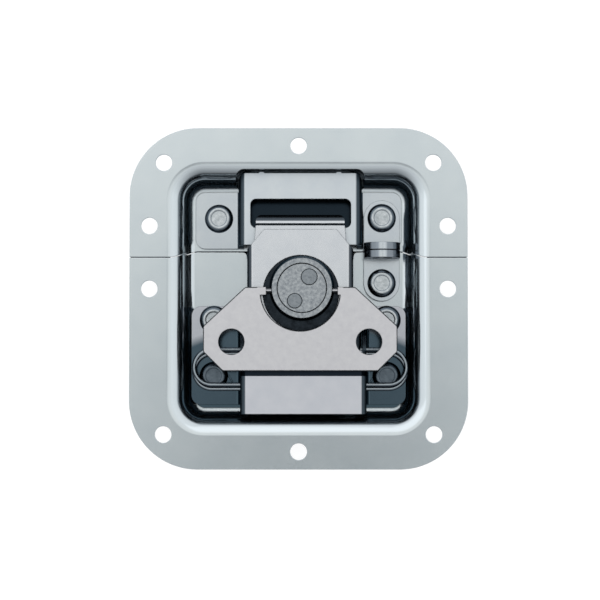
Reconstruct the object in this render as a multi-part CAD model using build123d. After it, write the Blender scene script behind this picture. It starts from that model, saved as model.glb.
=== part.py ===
from build123d import *
from math import cos, radians, sin, tan
import os

# Recessed butterfly latch in a split pressed dish, lying on its back.
# Millimetres. X right, Y towards the keeper, Z out of the recess.
# Origin: centre of the four corner holes, on the flange's rear plane.

# Dish
flange_width = 104.0
flange_height = 105.0
flange_corner = 21.0
dish_sheet = 1.2
recess_depth = 14.0
rim_x = 16.1
rim_y = 15.1
mouth_width = flange_width - 2 * rim_x
mouth_height = flange_height - 2 * rim_y
mouth_corner = 6.8
wall_draft = 5.0
lip_radius = 5.1
floor_radius = 2.4

# Split between the two halves: low on the flange, higher on the floor
split_gap = 0.25
split_flange_y = 12.6
split_floor_y = 15.2
split_step_outside = 2.5
split_step_inside = 3.3
split_bend_outer = mouth_width / 2 + split_step_outside
split_bend_inner = mouth_width / 2 - split_step_inside
split_bend_radius = 6.0
hook_relief_width = 33.4
hook_relief_depth = 3.0
hook_relief_radius = 1.4

# Fixing holes in the flange
fixing_hole_radius = 2.55
corner_hole_edge_x = 10.5
corner_hole_edge_y = 10.7
side_hole_edge = 6.1
centre_hole_edge = 5.45
corner_hole_x = flange_width / 2 - corner_hole_edge_x
corner_hole_y = flange_height / 2 - corner_hole_edge_y
side_hole_x = flange_width / 2 - side_hole_edge
side_hole_span_y = 19.4
centre_hole_y = flange_height / 2 - centre_hole_edge

# The mechanism sits a little right of the flange's middle
mechanism_x = 0.5
running_gap = 0.2
cut_margin = 1.0
touching = 0.01

# Heights of the floor and of the feet that lie on it
flange_top_z = dish_sheet
floor_z = dish_sheet - recess_depth
rear_z = floor_z - dish_sheet
wall_lean = tan(radians(wall_draft))
floor_inset = recess_depth * wall_lean + floor_radius * tan(radians(45 - wall_draft / 2))
floor_clearance = 0.2
floor_half_width = mouth_width / 2 - floor_inset - floor_clearance

# Hook: its nose drops through the keeper's slot
hook_sheet = 1.8
hook_half_width = 14.5
nose_half_width = 13.8
nose_high_y = 26.2
nose_step_y = 22.7
nose_step = 0.7
nose_bend = 2.6
nose_corner = 2.0
hook_tail_y = -33.0

# Keeper
keeper_sheet = 1.5
keeper_top_z = -3.95
keeper_bend = 2.3
keeper_foot_bend = 0.6
keeper_shoulder = 3.6
keeper_low_y = 16.8
keeper_high_y = 39.2
keeper_foot_low_y = 16.0
keeper_rivet_y = 25.5
keeper_foot_margin = 8.28
keeper_foot_high_y = keeper_rivet_y + keeper_foot_margin
keeper_foot_corner = 3.0
keeper_slot_play = 1.8
keeper_slot_shift = 0.15
keeper_slot_half_width = nose_half_width + keeper_slot_play
keeper_slot_low_y = 22.1
keeper_slot_high_y = 31.1
keeper_slot_corner = 1.8
keeper_half_width = keeper_slot_half_width + keeper_shoulder
keeper_nib_x = 12.0
keeper_nib_width = 1.6
keeper_nib_length = 0.35
nose_drop = 4.25
nose_tip_z = keeper_top_z - nose_drop

# Pocket in the upper half's wall for the keeper's end
pocket_gap = 0.7
pocket_half_width = keeper_half_width + pocket_gap
pocket_high_y = keeper_high_y + pocket_gap
pocket_low_y = keeper_foot_high_y - keeper_shoulder
pocket_corner = 2.6
pocket_floor_radius = 1.0

# Hook cover
cover_sheet = 1.2
cover_side = 1.9
cover_half_width = hook_half_width + cover_side
cover_bend = 1.8
cover_high_y = 21.4
cover_low_y = -13.0
cover_chamfer_x = 5.2
cover_chamfer_y = 6.2

# Heights of the moving stack, from the keeper up
keeper_gap = 0.15
hook_low_z = keeper_top_z + keeper_gap
hook_top_z = hook_low_z + hook_sheet
cover_top_z = hook_top_z + cover_sheet
handle_gap = 1.3
handle_sheet = 1.8
handle_low_z = cover_top_z + handle_gap
handle_top_z = handle_low_z + handle_sheet
handle_mid_z = handle_low_z + handle_sheet / 2
collar_rise = 0.6
collar_top_z = handle_top_z + collar_rise

# Rivets
rivet_shank_radius = 2.4
rivet_head_radius = 4.45
rivet_head_height = 1.7
rivet_flat_radius = 2.3
rivet_edge = 0.25
rivet_tail_radius = 3.5
rivet_tail_height = 1.0
keeper_rivet_inset = 6.8
keeper_rivet_x = floor_half_width - keeper_rivet_inset
bracket_rivet_inset = 5.3
bracket_rivet_x = floor_half_width - bracket_rivet_inset
bracket_rivet_upper_y = -6.3
bracket_rivet_lower_y = -23.8

# Padlock eyes, back to back at the split
eye_sheet = 2.2
eye_width = 11.2
eye_x = keeper_rivet_x
eye_rivet_y = 5.2
eye_bend = 2.6
eye_hole_radius = 3.2
eye_handle_gap = 1.1
eye_top_z = handle_low_z - eye_handle_gap
eye_hole_drop = 4.8
eye_hole_z = eye_top_z - eye_hole_drop
eye_meeting_gap = 0.3

# Drive: the boss turns about its axis, the disc under it is off-centre
# At rest the disc has turned a little past its lowest point, which locks it
boss_x = 0.5
boss_y = 3.1
throw = 1.48
locking_angle = 11.7
disc_x = boss_x - throw * sin(radians(locking_angle))
disc_y = boss_y - throw * cos(radians(locking_angle))
disc_radius = 11.7
journal_radius = 9.0
bearing_clearance = 0.06
retainer_radius = 10.8
retainer_thickness = 1.2
collar_base_radius = 10.0
collar_top_radius = 9.25
collar_skirt_height = 0.9
core_radius = 7.6
core_clearance = 0.08
core_sink = 0.35
core_edge = 0.15
large_stud_radius = 2.5
large_stud_right = 2.25
large_stud_up = 3.4
large_stud_x = boss_x + large_stud_right
large_stud_y = boss_y + large_stud_up
small_stud_radius = 2.3
small_stud_left = 2.2
small_stud_down = 3.95
small_stud_x = boss_x - small_stud_left
small_stud_y = boss_y - small_stud_down
stud_edge = 0.15
stud_head_height = 0.6
stud_head_rim = 0.7

# Butterfly handle
handle_pivot_y = 2.4
handle_high_y = 3.4
handle_low_y = -22.4
handle_half_width = 29.8
handle_bottom_inset = 6.0
handle_bottom_half_width = handle_half_width - handle_bottom_inset
handle_side_high_y = -8.6
handle_side_low_y = -16.5
handle_corner = 1.2
handle_edge = 0.25
handle_window_gap = 0.5
handle_window_radius = disc_radius + handle_window_gap
handle_shoulder_rim = 4.7
handle_shoulder_half_width = handle_window_radius + handle_shoulder_rim
handle_window_y = 2.15
ear_gap = 1.0
ear_height = 2.4
ear_pin_radius = 0.85
ear_pin_length = 2.8
ear_bore_clearance = 0.08
finger_hole_radius = 4.0
finger_hole_inset = 8.7
finger_hole_x = handle_half_width - finger_hole_inset
finger_hole_y = -13.4

# Pivot plate: hat with a round tongue under the hook
hat_offset = 0.45
hat_shift = boss_x + hat_offset
pivot_sheet = 1.5
pivot_half_width = 17.9
pivot_bend = 2.4
pivot_foot_bend = 0.3
pivot_top_z = hook_low_z - running_gap
pivot_under_z = pivot_top_z - pivot_sheet
pivot_foot_top_z = floor_z + pivot_sheet
pivot_foot_margin = 9.98
pivot_foot_low_y = bracket_rivet_lower_y - pivot_foot_margin
retainer_top_z = pivot_under_z - running_gap / 2
tongue_radius = 13.0

# Latch bracket: bridge over the hook's tail and over the pivot plate's hat
bracket_sheet = 1.2
bracket_side_gap = 0.4
bracket_half_width = pivot_half_width + bracket_side_gap + bracket_sheet
bracket_bend = 2.0
bracket_foot_bend = 1.2
bracket_hook_gap = 0.3
bracket_top_z = hook_top_z + bracket_hook_gap + bracket_sheet
bracket_foot_top_z = pivot_foot_top_z + bracket_sheet
bracket_foot_overhang = 1.2
bracket_foot_half_width = floor_half_width + bracket_foot_overhang
bracket_foot_high_y = -2.0
bracket_foot_setback = 1.0
bracket_foot_low_y = pivot_foot_low_y + bracket_foot_setback
foot_corner = 3.0
bridge_low_y = -35.6
bridge_high_y = -16.0
tick_length = 2.6
tick_width = 0.5
tick_depth = 0.3
tick_x = 22.2
tick_shift = 0.4
tick_y = -24.6
tick_lean = 30.0

# Wire spring: two flattened turns
wire_diameter = 1.3
spring_half_length = 33.6
spring_turn_height = 10.9
spring_middle_y = -21.05
spring_turn_shift_y = -1.3
spring_drop = 0.9
spring_top_z = pivot_under_z - spring_drop
spring_turn_drop = 1.35
spring_slot_play = 0.4
spring_bend = spring_turn_height / 2 - touching


def block(x, y, z):
    """Box from three (low, high) spans."""
    size = [span[1] - span[0] for span in (x, y, z)]
    middle = [(span[0] + span[1]) / 2 for span in (x, y, z)]
    return Pos(*middle) * Box(*size)


def slab(outline, z):
    """A flat outline given thickness between two heights."""
    return extrude(Pos(0, 0, z[0]) * outline, amount=z[1] - z[0], dir=(0, 0, 1))


def drum(radius, x, y, z):
    """Round solid along Z."""
    return slab(Pos(x, y) * Circle(radius), z)


def across(outline, reach):
    """A side outline, drawn in Y and Z, given width both ways along X."""
    return extrude(Plane.YZ * outline, amount=reach, both=True)


def round_far_corners(outline, radius):
    return fillet(outline.vertices().group_by(Axis.Y)[-1], radius)


def folded_channel(half_width, sheet, y, z, bend):
    """Sheet folded down along both sides, open below."""
    outer = block((-half_width, half_width), y, z)
    outer = fillet(outer.edges().filter_by(Axis.Y).group_by(Axis.Z)[-1], bend)
    inner_half_width = half_width - sheet
    inner = block((-inner_half_width, inner_half_width), y, (z[0], z[1] - sheet))
    inner = fillet(inner.edges().filter_by(Axis.Y).group_by(Axis.Z)[-1], bend - sheet)
    return outer - inner


def foot_plates(half_width, hat_x, hat_half_width, y, z, corner):
    """Foot plates on both sides of a hat, centred on the dish."""
    middle = Pos(-mechanism_x, (y[0] + y[1]) / 2)
    plate = slab(middle * RectangleRounded(2 * half_width, y[1] - y[0], corner), z)
    return plate - block((hat_x - hat_half_width, hat_x + hat_half_width), y, z)


def leg_bends(hat, x, half_width, z, radius):
    """Rounds the inside corners where the legs meet the feet."""
    corners = [
        edge for edge in hat.edges().filter_by(Axis.Y)
        if abs(edge.center().Z - z) < touching and abs(abs(edge.center().X - x) - half_width) < touching
    ]
    return fillet(corners, radius)


# Dish

def drafted_pan(wall, depth, bottom_radius):
    mouth = RectangleRounded(mouth_width + 2 * wall, mouth_height + 2 * wall, mouth_corner + wall)
    pan = extrude(Pos(0, 0, flange_top_z) * mouth, amount=depth, dir=(0, 0, -1), taper=wall_draft)
    return fillet(pan.faces().sort_by(Axis.Z)[0].edges(), bottom_radius)


def dish_pressing():
    """Whole pressing: flange, rolled lip, drafted wall and floor."""
    flange = slab(RectangleRounded(flange_width, flange_height, flange_corner), (0, flange_top_z))
    inner = drafted_pan(0, recess_depth, floor_radius)
    outer = drafted_pan(dish_sheet, recess_depth + dish_sheet, floor_radius + dish_sheet)
    dish = flange + outer - inner
    lip = dish.faces().sort_by(Axis.Z)[-1].inner_wires()[0].edges()
    dish = fillet(lip, lip_radius)
    rear = dish.faces().filter_by(Plane.XY).filter_by_position(Axis.Z, -touching, touching)[0]
    return fillet(rear.inner_wires()[0].edges(), lip_radius - dish_sheet)


def pocket_form(wall, z, bottom_radius):
    """Block with rounded far corners, as large as the pocket or as its outside."""
    half_width = pocket_half_width + wall
    plan = Polygon(
        (-half_width, pocket_low_y),
        (half_width, pocket_low_y),
        (half_width, pocket_high_y + wall),
        (-half_width, pocket_high_y + wall),
        align=None,
    )
    pocket = slab(round_far_corners(plan, pocket_corner + wall), z)
    floor_edges = pocket.edges().group_by(Axis.Z)[0].sort_by(Axis.Y)[1:]
    return Pos(mechanism_x, 0, 0) * fillet(floor_edges, bottom_radius)


def keeper_pocket(pressing):
    """Bulges the upper wall outwards, so the keeper's end has room."""
    outside = pocket_form(dish_sheet, (rear_z, 0), pocket_floor_radius + dish_sheet)
    behind_wall = [solid for solid in (outside - pressing).solids() if solid.center().Y > mouth_height / 2]
    inside = pocket_form(0, (floor_z, flange_top_z + cut_margin), pocket_floor_radius)
    return pressing + behind_wall - inside


def fixing_holes():
    places = [Pos(x, y) for x in (-corner_hole_x, corner_hole_x) for y in (-corner_hole_y, corner_hole_y)]
    places += [Pos(x, split_flange_y + y) for x in (-side_hole_x, side_hole_x)
               for y in (-side_hole_span_y / 2, side_hole_span_y / 2)]
    places += [Pos(0, y) for y in (-centre_hole_y, centre_hole_y)]
    hole = slab(Circle(fixing_hole_radius), (-cut_margin, flange_top_z + cut_margin))
    return [place * hole for place in places]


def rivet_hole(x, y, z):
    return drum(rivet_shank_radius, x, y, z)


def dish_rivet_holes(places):
    z = (rear_z - cut_margin, floor_z + cut_margin)
    return [rivet_hole(mechanism_x + x, y, z) for x, y in places]


def split_line(shift):
    """Points of the split across the dish, left and right of the middle."""
    flange_y = split_flange_y + shift
    floor_y = split_floor_y + shift
    left = [(-flange_width, flange_y), (-split_bend_outer, flange_y), (-split_bend_inner, floor_y)]
    right = [(-x, y) for x, y in reversed(left)]
    return left, right


def lower_region():
    left, right = split_line(-split_gap / 2)
    floor_y = left[-1][1]
    relief_left = mechanism_x - hook_relief_width / 2
    relief_right = mechanism_x + hook_relief_width / 2
    relief_y = floor_y - hook_relief_depth
    relief = [
        (relief_left, floor_y),
        (relief_left, relief_y),
        (relief_right, relief_y),
        (relief_right, floor_y),
    ]
    bends = [split_bend_radius] * 2 + [hook_relief_radius] * 4 + [split_bend_radius] * 2
    edge = FilletPolyline(left + relief + right, radius=bends)
    rest = Polyline(right[-1], (flange_width, -flange_height), (-flange_width, -flange_height), left[0])
    return make_face(edge.edges() + rest.edges())


def upper_region():
    left, right = split_line(split_gap / 2)
    edge = FilletPolyline(left + right, radius=[split_bend_radius] * 4)
    rest = Polyline(right[-1], (flange_width, flange_height), (-flange_width, flange_height), left[0])
    return make_face(edge.edges() + rest.edges())


def dish_half(pressing, region, rivet_places):
    half = pressing & slab(region, (rear_z - cut_margin, flange_top_z + cut_margin))
    return half - fixing_holes() - dish_rivet_holes(rivet_places)


# Rivets

def rivet(x, y, seat_z):
    """Flattened dome on its seat, shank, and a set tail behind the floor."""
    crown_z = seat_z + rivet_head_height
    tail_z = rear_z - rivet_tail_height
    dome = TangentArc((rivet_head_radius, seat_z + rivet_edge), (rivet_flat_radius, crown_z), tangent=(0, 1))
    rest = Polyline(
        (rivet_flat_radius, crown_z),
        (0, crown_z),
        (0, tail_z),
        (rivet_tail_radius - rivet_edge, tail_z),
        (rivet_tail_radius, tail_z + rivet_edge),
        (rivet_tail_radius, rear_z),
        (rivet_shank_radius, rear_z),
        (rivet_shank_radius, seat_z),
        (rivet_head_radius, seat_z),
        (rivet_head_radius, seat_z + rivet_edge),
    )
    section = Plane.XZ * make_face(dome.edges() + rest.edges())
    return Pos(x, y, 0) * revolve(section, Axis.Z)


# Upper half: keeper and padlock eyes

def keeper():
    foot_top_z = floor_z + keeper_sheet
    y = (keeper_foot_low_y, keeper_high_y)
    bridge = folded_channel(keeper_half_width, keeper_sheet, y, (floor_z, keeper_top_z), keeper_bend)
    side = Polygon(
        (keeper_foot_low_y, floor_z),
        (keeper_foot_high_y, floor_z),
        (keeper_high_y, keeper_top_z - 2 * keeper_bend),
        (keeper_high_y, keeper_top_z),
        (keeper_low_y, keeper_top_z),
        (keeper_low_y, keeper_top_z - keeper_bend),
        align=None,
    )
    plan = Polygon(
        (-keeper_half_width, keeper_foot_low_y),
        (keeper_half_width, keeper_foot_low_y),
        (keeper_half_width, keeper_high_y),
        (-keeper_half_width, keeper_high_y),
        align=None,
    )
    plan = round_far_corners(plan, keeper_bend)
    bridge = bridge & across(side, keeper_half_width) & slab(plan, (floor_z, keeper_top_z))
    feet = foot_plates(
        floor_half_width,
        0,
        keeper_half_width - keeper_sheet,
        (keeper_foot_low_y, keeper_foot_high_y),
        (floor_z, foot_top_z),
        keeper_foot_corner,
    )
    hat = leg_bends(bridge + feet, 0, keeper_half_width, foot_top_z, keeper_foot_bend)
    slot_length = keeper_slot_high_y - keeper_slot_low_y
    slot = RectangleRounded(2 * keeper_slot_half_width, slot_length, keeper_slot_corner)
    slot = Pos(keeper_slot_shift, keeper_slot_low_y + slot_length / 2) * slot
    hat = hat - slab(slot, (keeper_top_z - 2 * keeper_sheet, keeper_top_z + cut_margin))
    hat = hat - [rivet_hole(side * keeper_rivet_x, keeper_rivet_y, (floor_z, foot_top_z))
                 for side in (-1, 1)]
    nib = block(
        (-keeper_nib_width / 2, keeper_nib_width / 2),
        (keeper_high_y, keeper_high_y + keeper_nib_length),
        (keeper_top_z - keeper_sheet, keeper_top_z),
    )
    nib = chamfer(nib.edges().filter_by(Axis.Z).group_by(Axis.Y)[-1], keeper_nib_length / 2)
    return hat + [Pos(x, 0, 0) * nib for x in (-keeper_nib_x, keeper_nib_x)]


def padlock_eye(low_z, rivet_distance):
    """Eye with its upright's back on Y = 0 and its foot towards +Y."""
    half_width = eye_width / 2
    tread = Pos(0, rivet_distance / 2) * Rectangle(eye_width, rivet_distance)
    tread = tread + Pos(0, rivet_distance) * Circle(half_width)
    tread = slab(tread, (low_z, low_z + eye_sheet))
    round_z = eye_top_z - half_width
    upright = Pos(0, (low_z + round_z) / 2) * Rectangle(eye_width, round_z - low_z)
    upright = upright + Pos(0, round_z) * Circle(half_width)
    upright = extrude(Plane.XZ * upright, amount=-eye_sheet)
    eye = tread + upright
    bend = eye.edges().filter_by(Axis.X).sort_by(lambda edge: edge.center().Y + edge.center().Z)[0]
    eye = fillet(bend, eye_bend)
    bore = extrude(Plane.XZ * (Pos(0, eye_hole_z) * Circle(eye_hole_radius)), amount=-2 * eye_sheet)
    return eye - bore - rivet_hole(0, rivet_distance, (low_z - cut_margin, low_z + eye_sheet + cut_margin))


def upper_padlock_eye():
    back_y = split_floor_y + eye_meeting_gap / 2
    return Pos(eye_x, back_y) * padlock_eye(floor_z + keeper_sheet, keeper_rivet_y - back_y)


def lower_padlock_eye():
    back_y = split_floor_y - eye_meeting_gap / 2
    return Pos(eye_x, back_y) * mirror(padlock_eye(floor_z, back_y - eye_rivet_y), Plane.XZ)


# Lower half: pivot plate, bracket and spring

def bracket_rivet_holes(z):
    return [rivet_hole(side * bracket_rivet_x, y, z) for side in (-1, 1)
            for y in (bracket_rivet_upper_y, bracket_rivet_lower_y)]


def spring_slots(leg_half_width, leg_sheet):
    """Slots in one hat's legs that the spring's four straight runs pass through."""
    play = wire_diameter / 2 + spring_slot_play
    z = (spring_top_z - spring_turn_drop - play, spring_top_z + play)
    slots = []
    for side in (-1, 1):
        run_y = spring_middle_y + side * spring_turn_height / 2
        y = (run_y + spring_turn_shift_y - play, run_y + play)
        for leg_x in (hat_shift - leg_half_width, hat_shift + leg_half_width):
            slots.append(block((leg_x - 2 * leg_sheet, leg_x + 2 * leg_sheet), y, z))
    return slots


def pivot_plate():
    y = (pivot_foot_low_y, bracket_foot_high_y)
    hat = folded_channel(pivot_half_width, pivot_sheet, y, (floor_z, pivot_top_z), pivot_bend)
    feet = foot_plates(
        floor_half_width,
        hat_shift,
        pivot_half_width - pivot_sheet,
        y,
        (floor_z, pivot_foot_top_z),
        foot_corner,
    )
    plate = Pos(hat_shift, 0, 0) * hat + feet
    plate = leg_bends(plate, hat_shift, pivot_half_width, pivot_foot_top_z, pivot_foot_bend)
    top = (pivot_under_z, pivot_top_z)
    tongue = block(
        (boss_x - tongue_radius, boss_x + tongue_radius),
        (bracket_foot_high_y - cut_margin, boss_y),
        top,
    )
    tongue = tongue + drum(tongue_radius, boss_x, boss_y, top)
    bore_z = (pivot_under_z - cut_margin, pivot_top_z + cut_margin)
    bore = drum(journal_radius + bearing_clearance, boss_x, boss_y, bore_z)
    holes = bracket_rivet_holes((floor_z, pivot_foot_top_z))
    return plate + tongue - bore - holes - spring_slots(pivot_half_width, pivot_sheet)


def bracket_ticks():
    """Short lanced marks beside the bridge, one on each foot."""
    mark = block((-tick_width / 2, tick_width / 2), (-tick_length / 2, tick_length / 2), (0, cut_margin))
    z = bracket_foot_top_z - tick_depth
    return [Pos(tick_shift + side * tick_x, tick_y, z) * Rot(0, 0, -side * tick_lean) * mark
            for side in (-1, 1)]


def latch_bracket():
    y = (bridge_low_y, bracket_foot_high_y)
    z = (pivot_foot_top_z, bracket_top_z)
    bridge = folded_channel(bracket_half_width, bracket_sheet, y, z, bracket_bend)
    side = Polygon(
        (bracket_foot_low_y, z[0]),
        (bracket_foot_high_y, z[0]),
        (bracket_foot_high_y, z[0] + 2 * bracket_sheet),
        (bridge_high_y, bracket_top_z - 2 * bracket_bend),
        (bridge_high_y, bracket_top_z),
        (bridge_low_y, bracket_top_z),
        (bridge_low_y, bracket_top_z - 2 * bracket_bend),
        align=None,
    )
    bridge = bridge & across(side, bracket_half_width)
    feet = foot_plates(
        bracket_foot_half_width,
        hat_shift,
        bracket_half_width - bracket_sheet,
        (bracket_foot_low_y, bracket_foot_high_y),
        (pivot_foot_top_z, bracket_foot_top_z),
        foot_corner,
    )
    bracket = Pos(hat_shift, 0, 0) * bridge + feet
    bracket = leg_bends(bracket, hat_shift, bracket_half_width, bracket_foot_top_z, bracket_foot_bend)
    bracket = bracket - bracket_rivet_holes((pivot_foot_top_z, bracket_foot_top_z))
    return bracket - spring_slots(bracket_half_width, bracket_sheet) - bracket_ticks()


def wire_spring():
    """Two flattened turns of round wire, the second lower and further down the dish."""
    half_length = spring_half_length - wire_diameter / 2
    high_y = spring_middle_y + spring_turn_height / 2
    low_y = spring_middle_y - spring_turn_height / 2
    crossing_x = pivot_half_width / 2
    shift = spring_turn_shift_y
    upper_z = spring_top_z
    lower_z = spring_top_z - spring_turn_drop
    route = [
        (0, low_y, upper_z),
        (half_length, low_y, upper_z),
        (half_length, high_y, upper_z),
        (-half_length, high_y, upper_z),
        (-half_length, low_y, upper_z),
        (-crossing_x, low_y, upper_z),
        (crossing_x, low_y + shift, lower_z),
        (half_length, low_y + shift, lower_z),
        (half_length, high_y + shift, lower_z),
        (-half_length, high_y + shift, lower_z),
        (-half_length, low_y + shift, lower_z),
        (-crossing_x, low_y + shift, lower_z),
    ]
    path = FilletPolyline(route, radius=spring_bend)
    return sweep(Plane(origin=route[0], z_dir=(1, 0, 0)) * Circle(wire_diameter / 2), path=path)


# Drive

def stud_holes(z):
    return [drum(large_stud_radius, large_stud_x, large_stud_y, z),
            drum(small_stud_radius, small_stud_x, small_stud_y, z)]


def eccentric_disc():
    """Off-centre disc in the hook, turned in one with the journal under it."""
    disc = drum(disc_radius, disc_x, disc_y, (hook_low_z, cover_top_z))
    journal = drum(journal_radius, boss_x, boss_y, (retainer_top_z, hook_low_z))
    return disc + journal - stud_holes((retainer_top_z, cover_top_z))


def retaining_disc():
    z = (retainer_top_z - retainer_thickness, retainer_top_z)
    return drum(retainer_radius, boss_x, boss_y, z) - stud_holes(z)


def drive_stud(radius, x, y):
    """Riveted stud through the whole stack, its head under the retaining disc."""
    head_top_z = retainer_top_z - retainer_thickness
    shank = drum(radius, x, y, (head_top_z, collar_top_z))
    shank = chamfer(shank.edges().group_by(Axis.Z)[-1], stud_edge)
    head = drum(radius + stud_head_rim, x, y, (head_top_z - stud_head_height, head_top_z))
    return shank + chamfer(head.edges().group_by(Axis.Z)[0], stud_head_height / 2)


def ear_cylinder(radius, reach):
    """Round bar along the handle's pivot, both ways from the boss's axis."""
    bar = Plane.YZ * (Pos(handle_pivot_y, handle_mid_z) * Circle(radius))
    return Pos(boss_x, 0, 0) * extrude(bar, amount=reach, both=True)


def boss_collar():
    """Tapered ring with a bore for the core and a cross bore for the handle's ears."""
    bore_radius = core_radius + core_clearance
    section = Polygon(
        (bore_radius, cover_top_z),
        (collar_base_radius, cover_top_z),
        (collar_base_radius, cover_top_z + collar_skirt_height),
        (collar_top_radius, collar_top_z),
        (bore_radius, collar_top_z),
        align=None,
    )
    ring = Pos(boss_x, boss_y, 0) * revolve(Plane.XZ * section, Axis.Z)
    return ring - ear_cylinder(ear_pin_radius + ear_bore_clearance, collar_base_radius + cut_margin)


def boss_core():
    z = (cover_top_z, collar_top_z - core_sink)
    core = drum(core_radius, boss_x, boss_y, z)
    return chamfer(core.edges().group_by(Axis.Z)[-1], core_edge) - stud_holes(z)


# Hook

def disc_bore():
    z = (hook_low_z - cut_margin, cover_top_z + cut_margin)
    return drum(disc_radius + bearing_clearance, disc_x, disc_y, z)


def hook_plate():
    """Flat tail, a small step, and a nose bent down through the keeper's slot."""
    step_end_y = nose_step_y + nose_step
    nose_top_z = hook_top_z - nose_step
    nose_inner_y = nose_high_y - hook_sheet
    side = Polygon(
        (hook_tail_y, hook_top_z),
        (nose_step_y, hook_top_z),
        (step_end_y, nose_top_z),
        (nose_high_y, nose_top_z),
        (nose_high_y, nose_tip_z),
        (nose_inner_y, nose_tip_z),
        (nose_inner_y, nose_top_z - hook_sheet),
        (step_end_y, nose_top_z - hook_sheet),
        (nose_step_y, hook_low_z),
        (hook_tail_y, hook_low_z),
        align=None,
    )
    side = fillet(side.vertices().sort_by_distance((nose_high_y, nose_top_z, 0))[0], nose_bend)
    plate = across(side, hook_half_width)
    right = [
        (hook_half_width, hook_tail_y),
        (hook_half_width, disc_y + disc_radius),
        (nose_half_width, nose_step_y),
        (nose_half_width, nose_high_y),
    ]
    plan = Polygon(*right, *[(-x, y) for x, y in reversed(right)], align=None)
    ends = plan.vertices().group_by(Axis.Y)
    plan = fillet(ends[-1] + ends[0], nose_corner)
    return (plate & slab(plan, (nose_tip_z, hook_top_z))) - disc_bore()


def hook_cover():
    y = (cover_low_y, cover_high_y)
    cover = folded_channel(cover_half_width, cover_sheet, y, (hook_low_z, cover_top_z), cover_bend)
    right = [
        (cover_half_width, cover_low_y),
        (cover_half_width, cover_high_y - cover_chamfer_y),
        (cover_half_width - cover_chamfer_x, cover_high_y),
    ]
    plan = Polygon(*right, *[(-x, y) for x, y in reversed(right)], align=None)
    return (cover & slab(plan, (hook_low_z, cover_top_z))) - disc_bore()


# Handle

def handle_ear(side):
    """Ear from the window's edge towards the boss, with its pin in the collar's cross bore."""
    tip_x = boss_x + side * (collar_base_radius + ear_gap)
    root_x = side * (handle_window_radius + cut_margin)
    pin_end_x = tip_x - side * ear_pin_length
    ear = block(
        sorted((tip_x, root_x)),
        (handle_high_y - ear_height, handle_high_y),
        (handle_low_z, handle_top_z),
    )
    pin = ear_cylinder(ear_pin_radius, handle_window_radius)
    inside = block(
        sorted((pin_end_x, root_x)),
        (handle_pivot_y - ear_height, handle_pivot_y + ear_height),
        (handle_low_z, handle_top_z),
    )
    return ear + (pin & inside)


def butterfly_handle():
    right = [
        (handle_bottom_half_width, handle_low_y),
        (handle_half_width, handle_side_low_y),
        (handle_half_width, handle_side_high_y),
        (handle_shoulder_half_width, handle_high_y),
    ]
    outline = Polygon(*right, *[(-x, y) for x, y in reversed(right)], align=None)
    outline = fillet(outline.vertices(), handle_corner)
    outline = outline - Pos(0, handle_window_y) * Circle(handle_window_radius)
    outline = outline - [Pos(side * finger_hole_x, finger_hole_y) * Circle(finger_hole_radius)
                         for side in (-1, 1)]
    wing = slab(outline, (handle_low_z, handle_top_z))
    wing = chamfer(wing.faces().sort_by(Axis.Z)[-1].outer_wire().edges(), handle_edge)
    return wing + handle_ear(-1) + handle_ear(1)


def in_place(shape):
    """Mechanism pieces are drawn about X = 0 and stand on the mechanism's line."""
    return Pos(mechanism_x, 0, 0) * shape


def all_nodes():
    pressing = dish_pressing()
    pocketed = keeper_pocket(pressing)
    lower_rivets = [(side * bracket_rivet_x, y) for side in (-1, 1)
                    for y in (bracket_rivet_upper_y, bracket_rivet_lower_y)]
    lower_rivets.append((eye_x, eye_rivet_y))
    upper_rivets = [(-keeper_rivet_x, keeper_rivet_y), (keeper_rivet_x, keeper_rivet_y)]
    nodes = {
        "lower_dish": dish_half(pressing, lower_region(), lower_rivets),
        "upper_dish": dish_half(pocketed, upper_region(), upper_rivets),
    }
    keeper_foot_top_z = floor_z + keeper_sheet
    mechanism = {
        "keeper": keeper(),
        "keeper_rivet_left": rivet(-keeper_rivet_x, keeper_rivet_y, keeper_foot_top_z),
        "keeper_rivet_right": rivet(keeper_rivet_x, keeper_rivet_y, keeper_foot_top_z + eye_sheet),
        "upper_padlock_eye": upper_padlock_eye(),
        "lower_padlock_eye": lower_padlock_eye(),
        "padlock_eye_rivet": rivet(eye_x, eye_rivet_y, floor_z + eye_sheet),
        "pivot_plate": pivot_plate(),
        "latch_bracket": latch_bracket(),
        "wire_spring": wire_spring(),
        "eccentric_disc": eccentric_disc(),
        "retaining_disc": retaining_disc(),
        "drive_stud_large": drive_stud(large_stud_radius, large_stud_x, large_stud_y),
        "drive_stud_small": drive_stud(small_stud_radius, small_stud_x, small_stud_y),
        "boss_collar": boss_collar(),
        "boss_core": boss_core(),
        "hook_plate": hook_plate(),
        "hook_cover": hook_cover(),
        "butterfly_handle": butterfly_handle(),
    }
    for height, y in (("upper", bracket_rivet_upper_y), ("lower", bracket_rivet_lower_y)):
        for side, x in (("left", -bracket_rivet_x), ("right", bracket_rivet_x)):
            mechanism[f"bracket_rivet_{height}_{side}"] = rivet(x, y, bracket_foot_top_z)
    nodes.update({name: in_place(shape) for name, shape in mechanism.items()})
    return nodes


os.makedirs("parts", exist_ok=True)
for name, shape in all_nodes().items():
    export_step(shape, f"parts/{name}.step")
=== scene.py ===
import math

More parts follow.
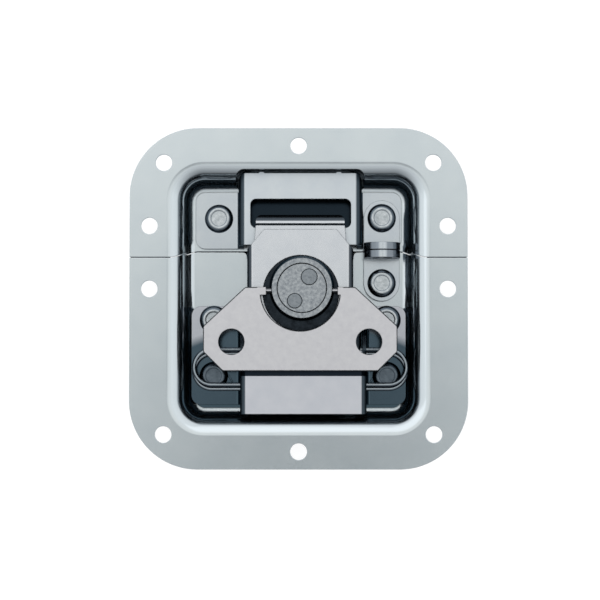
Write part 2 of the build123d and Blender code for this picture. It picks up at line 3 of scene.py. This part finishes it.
import bmesh
import bpy
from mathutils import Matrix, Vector


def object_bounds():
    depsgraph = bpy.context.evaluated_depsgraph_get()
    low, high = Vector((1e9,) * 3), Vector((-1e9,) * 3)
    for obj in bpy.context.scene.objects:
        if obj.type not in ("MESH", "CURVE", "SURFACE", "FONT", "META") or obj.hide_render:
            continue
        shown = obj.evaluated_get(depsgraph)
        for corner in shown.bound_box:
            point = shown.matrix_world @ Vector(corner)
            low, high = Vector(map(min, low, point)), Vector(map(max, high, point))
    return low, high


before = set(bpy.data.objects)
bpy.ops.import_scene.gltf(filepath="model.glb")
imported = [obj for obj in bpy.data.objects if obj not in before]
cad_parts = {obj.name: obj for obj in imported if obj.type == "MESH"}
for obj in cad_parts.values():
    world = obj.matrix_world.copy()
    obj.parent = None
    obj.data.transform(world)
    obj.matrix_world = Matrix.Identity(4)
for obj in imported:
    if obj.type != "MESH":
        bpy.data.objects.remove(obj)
cad_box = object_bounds()

MM = 0.001

# The photograph's frame: 184.3 mm across 600 pixels at the height of the flange's face
FIELD = 184.3 * MM
VIEW_DISTANCE = 620 * MM
VIEW_LEAN = math.radians(2.5)
SENSOR = 36.0
AIM = Vector((0.43 * MM, -0.55 * MM, 1.2 * MM))
CLIP_START = 10 * MM

# Floor, just below the rivets' tails
FLOOR_SIZE = 3.0
FLOOR_DROP = 0.2 * MM
FLOOR_TONE = "#F0F0F0"
FLOOR_WHITE = 1.25
FLOOR_WHITE_SHARE = 0.68

# Dark cards close under the split, painted shade that stands in for the shadow in the split: low and high
# ends in X and in Y, and height, all in mm
SPLIT_SHADE_CARDS_MM = ((-51.8, -39.5, 12.0, 13.2, -0.3),
                  (39.5, 51.8, 12.0, 13.2, -0.3),
                  (-32.8, 32.8, 11.4, 16.0, -14.2))
SHADE_CARD_TONE = "#1C1F22"

# Light tent: tones from the handle's side to the keeper's, from the floor up, and towards the lens
TENT_STRENGTH = 1.4
TENT_SIDES = [(0.0, "#7C7E80"), (0.06, "#A1A3A5"), (0.29, "#D9DBDC"), (0.5, "#FBFDFD"), (1.0, "#FDFEFF")]
TENT_HEIGHTS = [(0.0, "#2B3036"), (0.08, "#5A6168"), (0.3, "#F4F5F6"), (0.85, "#FFFFFF"), (1.0, "#E8E8E8")]
LENS_SHADES = [(0.0, "#FFFFFF"), (0.27, "#F9F9F9"), (0.65, "#E2E4E5"), (0.95, "#B6B8BA")]
LENS_SIDE = Vector((0.01, -0.05, 1.0)).normalized()
LENS_SHADE_ANGLE = math.radians(11)

# Softbox beyond the keeper, to the left
SOFTBOX_PLACE = Vector((-250 * MM, 420 * MM, 620 * MM))
SOFTBOX_WIDTH = 900 * MM
SOFTBOX_HEIGHT = 650 * MM
SOFTBOX_POWER = 0.6

# Passivated zinc reflects less at a flat angle than bare metal does
GRAZING_TINT = "#9CA4AA"
# The drawn dish is brighter at a flat angle than the pressed pieces
DISH_GRAZING_TINT = "#CCD2D6"
# How far up a surface faces where its painted side shade ends and its flat tone begins
SIDE_SHADE_FACING = 0.965
FLAT_FACING = 0.998
# Span of a noise pattern that holds most of its values
NOISE_SPAN = (0.3, 0.7)
# Share by which the grain lowers and raises the roughness
GLOSS_SPREAD = 0.15
# Radius at which sharp edges catch the light, and over which the painted edge shade spreads
EDGE_ROUND = 0.25 * MM
# Extra roughness where the plates' tops are brushed by wear, and the height above which they are
WORN_ROUGHNESS = 0.2
WORN_ABOVE = -6.0 * MM

# Painted shade, near black, and lighter painted shade, blue-grey: both darken the metal's colour where
# shade falls
PAINTED_SHADE_TINT = "#2D363E"
UNDER_HANDLE_SHADE_TINT = "#6B7F88"
RIVET_SHADE_TINT = "#838C94"
# The painted shade under the handle lies below this height, and fades in between these places in -Y, later
# away from the middle
SHADE_BELOW = -6.0 * MM
SHADE_FADE = (-1.4 * MM, 1.6 * MM)
SHADE_SLOPE = -0.4
# Painted shade on the dish's floor under the keeper's slot, and painted shadow where the handle's edge
# lies on the bridge
KEEPER_SLOT_SHADE_MM = ((-18, 19), (18, 34), (-13.3, -12.0))
HANDLE_SHADOW_ON_BRIDGE_MM = ((-22, 24), (-23.9, -21.0), (-2.0, 0.0))


def linear(hex_colour):
    """sRGB hex to linear RGBA."""
    channels = [int(hex_colour[i:i + 2], 16) / 255 for i in (1, 3, 5)]
    return [c / 12.92 if c <= 0.04045 else ((c + 0.055) / 1.055) ** 2.4 for c in channels] + [1.0]


def add_node(tree, kind, settings=None, inputs=None):
    """Adds a node, sets its properties, and links or sets its inputs by name or number."""
    node = tree.nodes.new(kind)
    for name, value in (settings or {}).items():
        setattr(node, name, value)
    for name, value in (inputs or {}).items():
        if isinstance(value, bpy.types.NodeSocket):
            tree.links.new(value, node.inputs[name])
        else:
            node.inputs[name].default_value = value
    return node


def set_stops(node, stops):
    """Gives a colour ramp its stops, each a position and a hex colour."""
    elements = node.color_ramp.elements
    while len(elements) < len(stops):
        elements.new(0.5)
    for element, (position, colour) in zip(elements, stops):
        element.position = position
        element.color = linear(colour)


def inside_box(tree, parts, spans_mm):
    """1 inside a box given as low and high in X, Y and Z, 0 outside."""
    tests = []
    for axis, (low, high) in zip("XYZ", spans_mm):
        test = add_node(tree, "ShaderNodeMath", {"operation": "COMPARE"},
                        {0: parts.outputs[axis], 1: (low + high) / 2 * MM, 2: (high - low) / 2 * MM})
        tests.append(test.outputs["Value"])
    plan = add_node(tree, "ShaderNodeMath", {"operation": "MULTIPLY"},
                    {0: tests[0], 1: tests[1]})
    box = add_node(tree, "ShaderNodeMath", {"operation": "MULTIPLY"},
                   {0: plan.outputs["Value"], 1: tests[2]})
    return box.outputs["Value"]


def painted_shade_under_handle(tree, parts):
    """Painted shade mask: 1 low in the recess under the handle and below it, fading out towards the feet's
    outer ends.
    """
    off_middle = add_node(tree, "ShaderNodeMath", {"operation": "ABSOLUTE"},
                          {0: parts.outputs["X"]})
    down = add_node(tree, "ShaderNodeMath", {"operation": "MULTIPLY"},
                    {0: parts.outputs["Y"], 1: -1.0})
    reach = add_node(tree, "ShaderNodeMath", {"operation": "MULTIPLY_ADD"},
                     {0: off_middle.outputs["Value"], 1: SHADE_SLOPE, 2: down.outputs["Value"]})
    fade = add_node(tree, "ShaderNodeMapRange", None,
                    {"Value": reach.outputs["Value"], "From Min": SHADE_FADE[0], "From Max": SHADE_FADE[1]})
    low = add_node(tree, "ShaderNodeMath", {"operation": "LESS_THAN"},
                   {0: parts.outputs["Z"], 1: SHADE_BELOW})
    shaded = add_node(tree, "ShaderNodeMath", {"operation": "MULTIPLY"},
                    {0: fade.outputs["Result"], 1: low.outputs["Value"]})
    return shaded.outputs["Value"]


def plated_steel(name, tones, side_shade_tone, roughness, cloud_mm, grain_mm, grain_depth_mm,
                 grain_stretch=(1, 1, 1), worn=False, shade_boxes_mm=(), shade_tint=None,
                 grazing_tint=GRAZING_TINT):
    """Plated steel: cloudy tone, with painted shade that darkens bends and cut edges as they face away
    from up, and a fine grain in gloss and height.

    Real plating has a grain of a few hundredths of a millimetre. It is drawn coarser, so that it shows.
    """
    material = bpy.data.materials.new(name)
    material.use_nodes = True
    tree = material.node_tree
    shader = tree.nodes["Principled BSDF"]
    shader.inputs["Metallic"].default_value = 1.0
    shader.inputs["Specular Tint"].default_value = linear(grazing_tint)
    place = add_node(tree, "ShaderNodeTexCoord").outputs["Object"]
    parts = add_node(tree, "ShaderNodeSeparateXYZ", None, {"Vector": place})
    rounded = add_node(tree, "ShaderNodeBevel", {"samples": 6}, {"Radius": EDGE_ROUND})
    low_noise, high_noise = NOISE_SPAN

    cloud = add_node(tree, "ShaderNodeTexNoise", None,
                     {"Vector": place, "Scale": 1 / (cloud_mm * MM), "Detail": 4.0, "Roughness": 0.6})
    tone = add_node(tree, "ShaderNodeValToRGB", None, {"Fac": cloud.outputs["Fac"]})
    set_stops(tone, [(low_noise, tones[0]), (high_noise, tones[1])])
    # Painted shade: the colour turns from the flat tone to the side shade tone as the edge-rounded surface
    # faces away from up
    facing = add_node(tree, "ShaderNodeVectorTransform",
                      {"vector_type": "NORMAL", "convert_from": "WORLD", "convert_to": "OBJECT"},
                      {"Vector": rounded.outputs["Normal"]})
    facing = add_node(tree, "ShaderNodeSeparateXYZ", None, {"Vector": facing.outputs["Vector"]})
    facing = add_node(tree, "ShaderNodeMath", {"operation": "ABSOLUTE"}, {0: facing.outputs["Z"]})
    flat = add_node(tree, "ShaderNodeMapRange", None,
                    {"Value": facing.outputs["Value"], "From Min": SIDE_SHADE_FACING, "From Max": FLAT_FACING})
    colour = add_node(tree, "ShaderNodeMix", {"data_type": "RGBA"},
                      {"Factor": flat.outputs["Result"], 6: linear(side_shade_tone), 7: tone.outputs["Color"]})
    # Painted shade: the shade boxes and the region under the handle multiply the colour by their dark
    # tints
    painted_shades = [(inside_box(tree, parts, box), PAINTED_SHADE_TINT) for box in shade_boxes_mm]
    if shade_tint is not None:
        painted_shades.append((painted_shade_under_handle(tree, parts), shade_tint))
    for shade_mask, tint in painted_shades:
        colour = add_node(tree, "ShaderNodeMix", {"data_type": "RGBA", "blend_type": "MULTIPLY"},
                          {"Factor": shade_mask, 6: colour.outputs[2], 7: linear(tint)})
    tree.links.new(colour.outputs[2], shader.inputs["Base Color"])

    stretched = add_node(tree, "ShaderNodeMapping", None, {"Vector": place, "Scale": grain_stretch})
    grain = add_node(tree, "ShaderNodeTexNoise", None,
                     {"Vector": stretched.outputs["Vector"], "Scale": 1 / (grain_mm * MM),
                      "Detail": 3.0, "Roughness": 0.7})
    gloss = add_node(tree, "ShaderNodeMapRange", None,
                     {"Value": grain.outputs["Fac"], "From Min": low_noise, "From Max": high_noise,
                      "To Min": roughness * (1 - GLOSS_SPREAD), "To Max": roughness * (1 + GLOSS_SPREAD)})
    gloss = gloss.outputs["Result"]
    if worn:
        top = add_node(tree, "ShaderNodeMath", {"operation": "GREATER_THAN"},
                       {0: parts.outputs["Z"], 1: WORN_ABOVE})
        gloss = add_node(tree, "ShaderNodeMath", {"operation": "MULTIPLY_ADD"},
                         {0: top.outputs["Value"], 1: WORN_ROUGHNESS, 2: gloss}).outputs["Value"]
    tree.links.new(gloss, shader.inputs["Roughness"])
    bump = add_node(tree, "ShaderNodeBump", None,
                    {"Height": grain.outputs["Fac"], "Distance": grain_depth_mm * MM,
                     "Normal": rounded.outputs["Normal"]})
    tree.links.new(bump.outputs["Normal"], shader.inputs["Normal"])
    return material


def finish_nodes(material, *names):
    """Gives CAD nodes their material."""
    for name in names:
        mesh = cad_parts[name].data
        mesh.materials.clear()
        mesh.materials.append(material)


# Bright zinc on the drawn dish: even soft gloss, hardly any grain, its sides painted only slightly darker,
# with painted shade on its floor under the keeper's slot
dish_zinc = plated_steel(
    "dish_drawn_zinc", tones=("#C0C7CA", "#C7CDCF"), side_shade_tone="#B9C0C4", roughness=0.16,
    cloud_mm=14.0, grain_mm=0.5, grain_depth_mm=0.0006,
    shade_boxes_mm=[KEEPER_SLOT_SHADE_MM], grazing_tint=DISH_GRAZING_TINT)
finish_nodes(dish_zinc, "lower_dish", "upper_dish")

# Bright zinc on pressed plate: sharper reflections, brushed on top, painted shade on the bends and painted
# shade low under the handle
plate_zinc = plated_steel(
    "plate_pressed_zinc", tones=("#B9BFC4", "#C0C5C8"), side_shade_tone="#3A434A", roughness=0.13,
    cloud_mm=5.0, grain_mm=0.4, grain_depth_mm=0.001, worn=True, shade_tint=UNDER_HANDLE_SHADE_TINT)
finish_nodes(plate_zinc, "keeper", "pivot_plate")

# The bracket's plate is a shade warmer, with painted shade on the bends, a band of painted shadow where
# the handle's edge lies, and painted shade low under the handle
bracket_zinc = plated_steel(
    "bracket_pressed_zinc", tones=("#B9BBC1", "#C0C1C6"), side_shade_tone="#3A434A", roughness=0.13,
    cloud_mm=5.0, grain_mm=0.4, grain_depth_mm=0.001, worn=True,
    shade_boxes_mm=[HANDLE_SHADOW_ON_BRIDGE_MM], shade_tint=UNDER_HANDLE_SHADE_TINT)
finish_nodes(bracket_zinc, "latch_bracket")

# Bright zinc on the padlock eyes, whose bends are painted less dark than the other plates'
eye_zinc = plated_steel(
    "eye_pressed_zinc", tones=("#B9BFC4", "#C0C5C8"), side_shade_tone="#747B82", roughness=0.2,
    cloud_mm=5.0, grain_mm=0.4, grain_depth_mm=0.001)
finish_nodes(eye_zinc, "upper_padlock_eye", "lower_padlock_eye")

# Satin zinc on the hook: reflections blur into an even tone; bends and edges painted dark
hook_zinc = plated_steel(
    "hook_satin_zinc", tones=("#C3C6CA", "#CACCCF"), side_shade_tone="#3E444A", roughness=0.27,
    cloud_mm=5.0, grain_mm=0.35, grain_depth_mm=0.001)
finish_nodes(hook_zinc, "hook_plate", "hook_cover")

# Tumbled zinc on the handle: warmer and greyer, with a fine speckle and painted shade on its edges
handle_zinc = plated_steel(
    "handle_tumbled_zinc", tones=("#BBBABD", "#C3C2C4"), side_shade_tone="#4A4D50", roughness=0.34,
    cloud_mm=1.6, grain_mm=0.3, grain_depth_mm=0.002)
finish_nodes(handle_zinc, "butterfly_handle")

# Peened rivet heads: painted shade round the rim, which leaves the crown bright, and painted shade on
# those low under the handle, with small hammered dimples
rivet_steel = plated_steel(
    "rivet_peened_steel", tones=("#A0A6A9", "#C6CACC"), side_shade_tone="#59626A", roughness=0.24,
    cloud_mm=1.6, grain_mm=0.9, grain_depth_mm=0.02, shade_tint=RIVET_SHADE_TINT)
finish_nodes(rivet_steel, *[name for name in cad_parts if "rivet" in name])

# Turned boss, scuffed by use: mottled, with streaks across it, and painted shade on its chamfers and sides
boss_zinc = plated_steel(
    "boss_scuffed_zinc", tones=("#7C8187", "#ADB1B3"), side_shade_tone="#3A4045", roughness=0.26,
    cloud_mm=0.9, grain_mm=0.3, grain_depth_mm=0.008, grain_stretch=(1, 4, 1))
finish_nodes(boss_zinc, "boss_collar", "boss_core")

# Studs hammered flush with the boss: darker, where the plating is worn off, with painted shade on their
# sides
stud_steel = plated_steel(
    "stud_hammered_steel", tones=("#72787D", "#8C9195"), side_shade_tone="#3A4045", roughness=0.3,
    cloud_mm=0.8, grain_mm=0.4, grain_depth_mm=0.01)
finish_nodes(stud_steel, "drive_stud_large", "drive_stud_small")

# Oiled dark steel of the eccentric disc and of the disc that holds it, its near-black tone partly painted
# shade of the gap round the boss: dim, soft reflections
disc_steel = plated_steel(
    "disc_oiled_and_shaded_steel", tones=("#171B1F", "#2C3238"), side_shade_tone="#15191C", roughness=0.3,
    cloud_mm=1.5, grain_mm=0.3, grain_depth_mm=0.006)
finish_nodes(disc_steel, "eccentric_disc", "retaining_disc")

# Drawn spring wire: smooth, its sides painted darker, which leaves one bright line along each run
wire_zinc = plated_steel(
    "wire_drawn_zinc", tones=("#99A1A6", "#ABB2B6"), side_shade_tone="#687077", roughness=0.1,
    cloud_mm=2.0, grain_mm=0.4, grain_depth_mm=0.001)
finish_nodes(wire_zinc, "wire_spring")


def matt(name, tone):
    """Matt paper: one even tone with no shine."""
    material = bpy.data.materials.new(name)
    material.use_nodes = True
    shader = material.node_tree.nodes["Principled BSDF"]
    shader.inputs["Base Color"].default_value = linear(tone)
    shader.inputs["Roughness"].default_value = 1.0
    shader.inputs["Specular IOR Level"].default_value = 0.0
    return material


def stage_piece(name, rig, material):
    """Turns a bmesh into a piece of the stage."""
    mesh = bpy.data.meshes.new(name)
    rig.to_mesh(mesh)
    rig.free()
    mesh.materials.append(material)
    piece = bpy.data.objects.new(name, mesh)
    bpy.context.scene.collection.objects.link(piece)


def white_floor():
    """Pale floor that camera and metal see as white, with the object's shadow left on it."""
    material = matt("white_floor", FLOOR_TONE)
    tree = material.node_tree
    path = add_node(tree, "ShaderNodeLightPath")
    seen = add_node(tree, "ShaderNodeMath", {"operation": "ADD"},
                    {0: path.outputs["Is Camera Ray"], 1: path.outputs["Is Glossy Ray"]})
    seen = add_node(tree, "ShaderNodeMath", {"operation": "ADD"},
                    {0: seen.outputs["Value"], 1: path.outputs["Is Transmission Ray"]})
    share = add_node(tree, "ShaderNodeMath", {"operation": "MULTIPLY", "use_clamp": True},
                     {0: seen.outputs["Value"], 1: FLOOR_WHITE_SHARE})
    white = add_node(tree, "ShaderNodeEmission", None, {"Strength": FLOOR_WHITE})
    paper = tree.nodes["Principled BSDF"]
    mix = add_node(tree, "ShaderNodeMixShader", None,
                   {0: share.outputs["Value"], 1: paper.outputs["BSDF"], 2: white.outputs["Emission"]})
    tree.links.new(mix.outputs["Shader"], tree.nodes["Material Output"].inputs["Surface"])
    rig = bmesh.new()
    bmesh.ops.create_grid(rig, x_segments=1, y_segments=1, size=FLOOR_SIZE)
    bmesh.ops.translate(rig, verts=rig.verts, vec=(0, 0, cad_box[0].z - FLOOR_DROP))
    stage_piece("floor", rig, material)


def split_shade_cards():
    """Dark cards behind the split between the halves: painted shade, so that the split reads as a dark
    line.
    """
    rig = bmesh.new()
    for low_x, high_x, low_y, high_y, height in SPLIT_SHADE_CARDS_MM:
        card = bmesh.ops.create_grid(rig, x_segments=1, y_segments=1, size=0.5)["verts"]
        middle = Vector(((low_x + high_x) / 2, (low_y + high_y) / 2, height)) * MM
        bmesh.ops.scale(rig, verts=card, vec=((high_x - low_x) * MM, (high_y - low_y) * MM, 1.0))
        bmesh.ops.translate(rig, verts=card, vec=middle)
    stage_piece("split_shade_cards", rig, matt("split_shade_card", SHADE_CARD_TONE))


def tent():
    """Light tent: bright beyond the keeper, darker behind the handle and round the lens overhead."""
    world = bpy.data.worlds.new("tent")
    bpy.context.scene.world = world
    world.use_nodes = True
    tree = world.node_tree
    place = add_node(tree, "ShaderNodeTexCoord").outputs["Generated"]
    parts = add_node(tree, "ShaderNodeSeparateXYZ", None, {"Vector": place})
    side = add_node(tree, "ShaderNodeMapRange", None,
                    {"Value": parts.outputs["Y"], "From Min": -1.0, "From Max": 1.0})
    wall = add_node(tree, "ShaderNodeValToRGB", None, {"Fac": side.outputs["Result"]})
    set_stops(wall, TENT_SIDES)
    height = add_node(tree, "ShaderNodeValToRGB", None, {"Fac": parts.outputs["Z"]})
    set_stops(height, TENT_HEIGHTS)
    tone = add_node(tree, "ShaderNodeMix", {"data_type": "RGBA", "blend_type": "MULTIPLY"},
                    {"Factor": 1.0, 6: wall.outputs["Color"], 7: height.outputs["Color"]})
    toward_lens = add_node(tree, "ShaderNodeVectorMath", {"operation": "DOT_PRODUCT"},
                           {0: place, 1: LENS_SIDE})
    near_lens = add_node(tree, "ShaderNodeMapRange", None,
                         {"Value": toward_lens.outputs["Value"],
                          "From Min": math.cos(LENS_SHADE_ANGLE), "From Max": 1.0})
    lens = add_node(tree, "ShaderNodeValToRGB", None, {"Fac": near_lens.outputs["Result"]})
    set_stops(lens, LENS_SHADES)
    tone = add_node(tree, "ShaderNodeMix", {"data_type": "RGBA", "blend_type": "MULTIPLY"},
                    {"Factor": 1.0, 6: tone.outputs[2], 7: lens.outputs["Color"]})
    tree.links.new(tone.outputs[2], tree.nodes["Background"].inputs["Color"])
    tree.nodes["Background"].inputs["Strength"].default_value = TENT_STRENGTH


def softbox():
    """One soft lamp, turned to the latch."""
    light = bpy.data.lights.new("softbox", "AREA")
    light.shape = "RECTANGLE"
    light.size = SOFTBOX_WIDTH
    light.size_y = SOFTBOX_HEIGHT
    light.energy = SOFTBOX_POWER
    lamp = bpy.data.objects.new("softbox", light)
    lamp.location = SOFTBOX_PLACE
    lamp.rotation_mode = "QUATERNION"
    lamp.rotation_quaternion = (-SOFTBOX_PLACE).to_track_quat("-Z", "Y")
    bpy.context.scene.collection.objects.link(lamp)


def camera():
    """The photograph's viewpoint: nearly overhead, leaning a little towards the handle."""
    lens = bpy.data.cameras.new("photo_view")
    lens.sensor_width = SENSOR
    lens.lens = SENSOR * VIEW_DISTANCE / FIELD
    lens.clip_start = CLIP_START
    view = bpy.data.objects.new("photo_view", lens)
    back = Vector((0, -math.sin(VIEW_LEAN), math.cos(VIEW_LEAN)))
    view.location = AIM + back * VIEW_DISTANCE
    view.rotation_mode = "QUATERNION"
    view.rotation_quaternion = (-back).to_track_quat("-Z", "Y")
    bpy.context.scene.collection.objects.link(view)
    bpy.context.scene.camera = view


white_floor()
split_shade_cards()
tent()
softbox()
camera()
bpy.context.scene.view_settings.view_transform = "Standard"
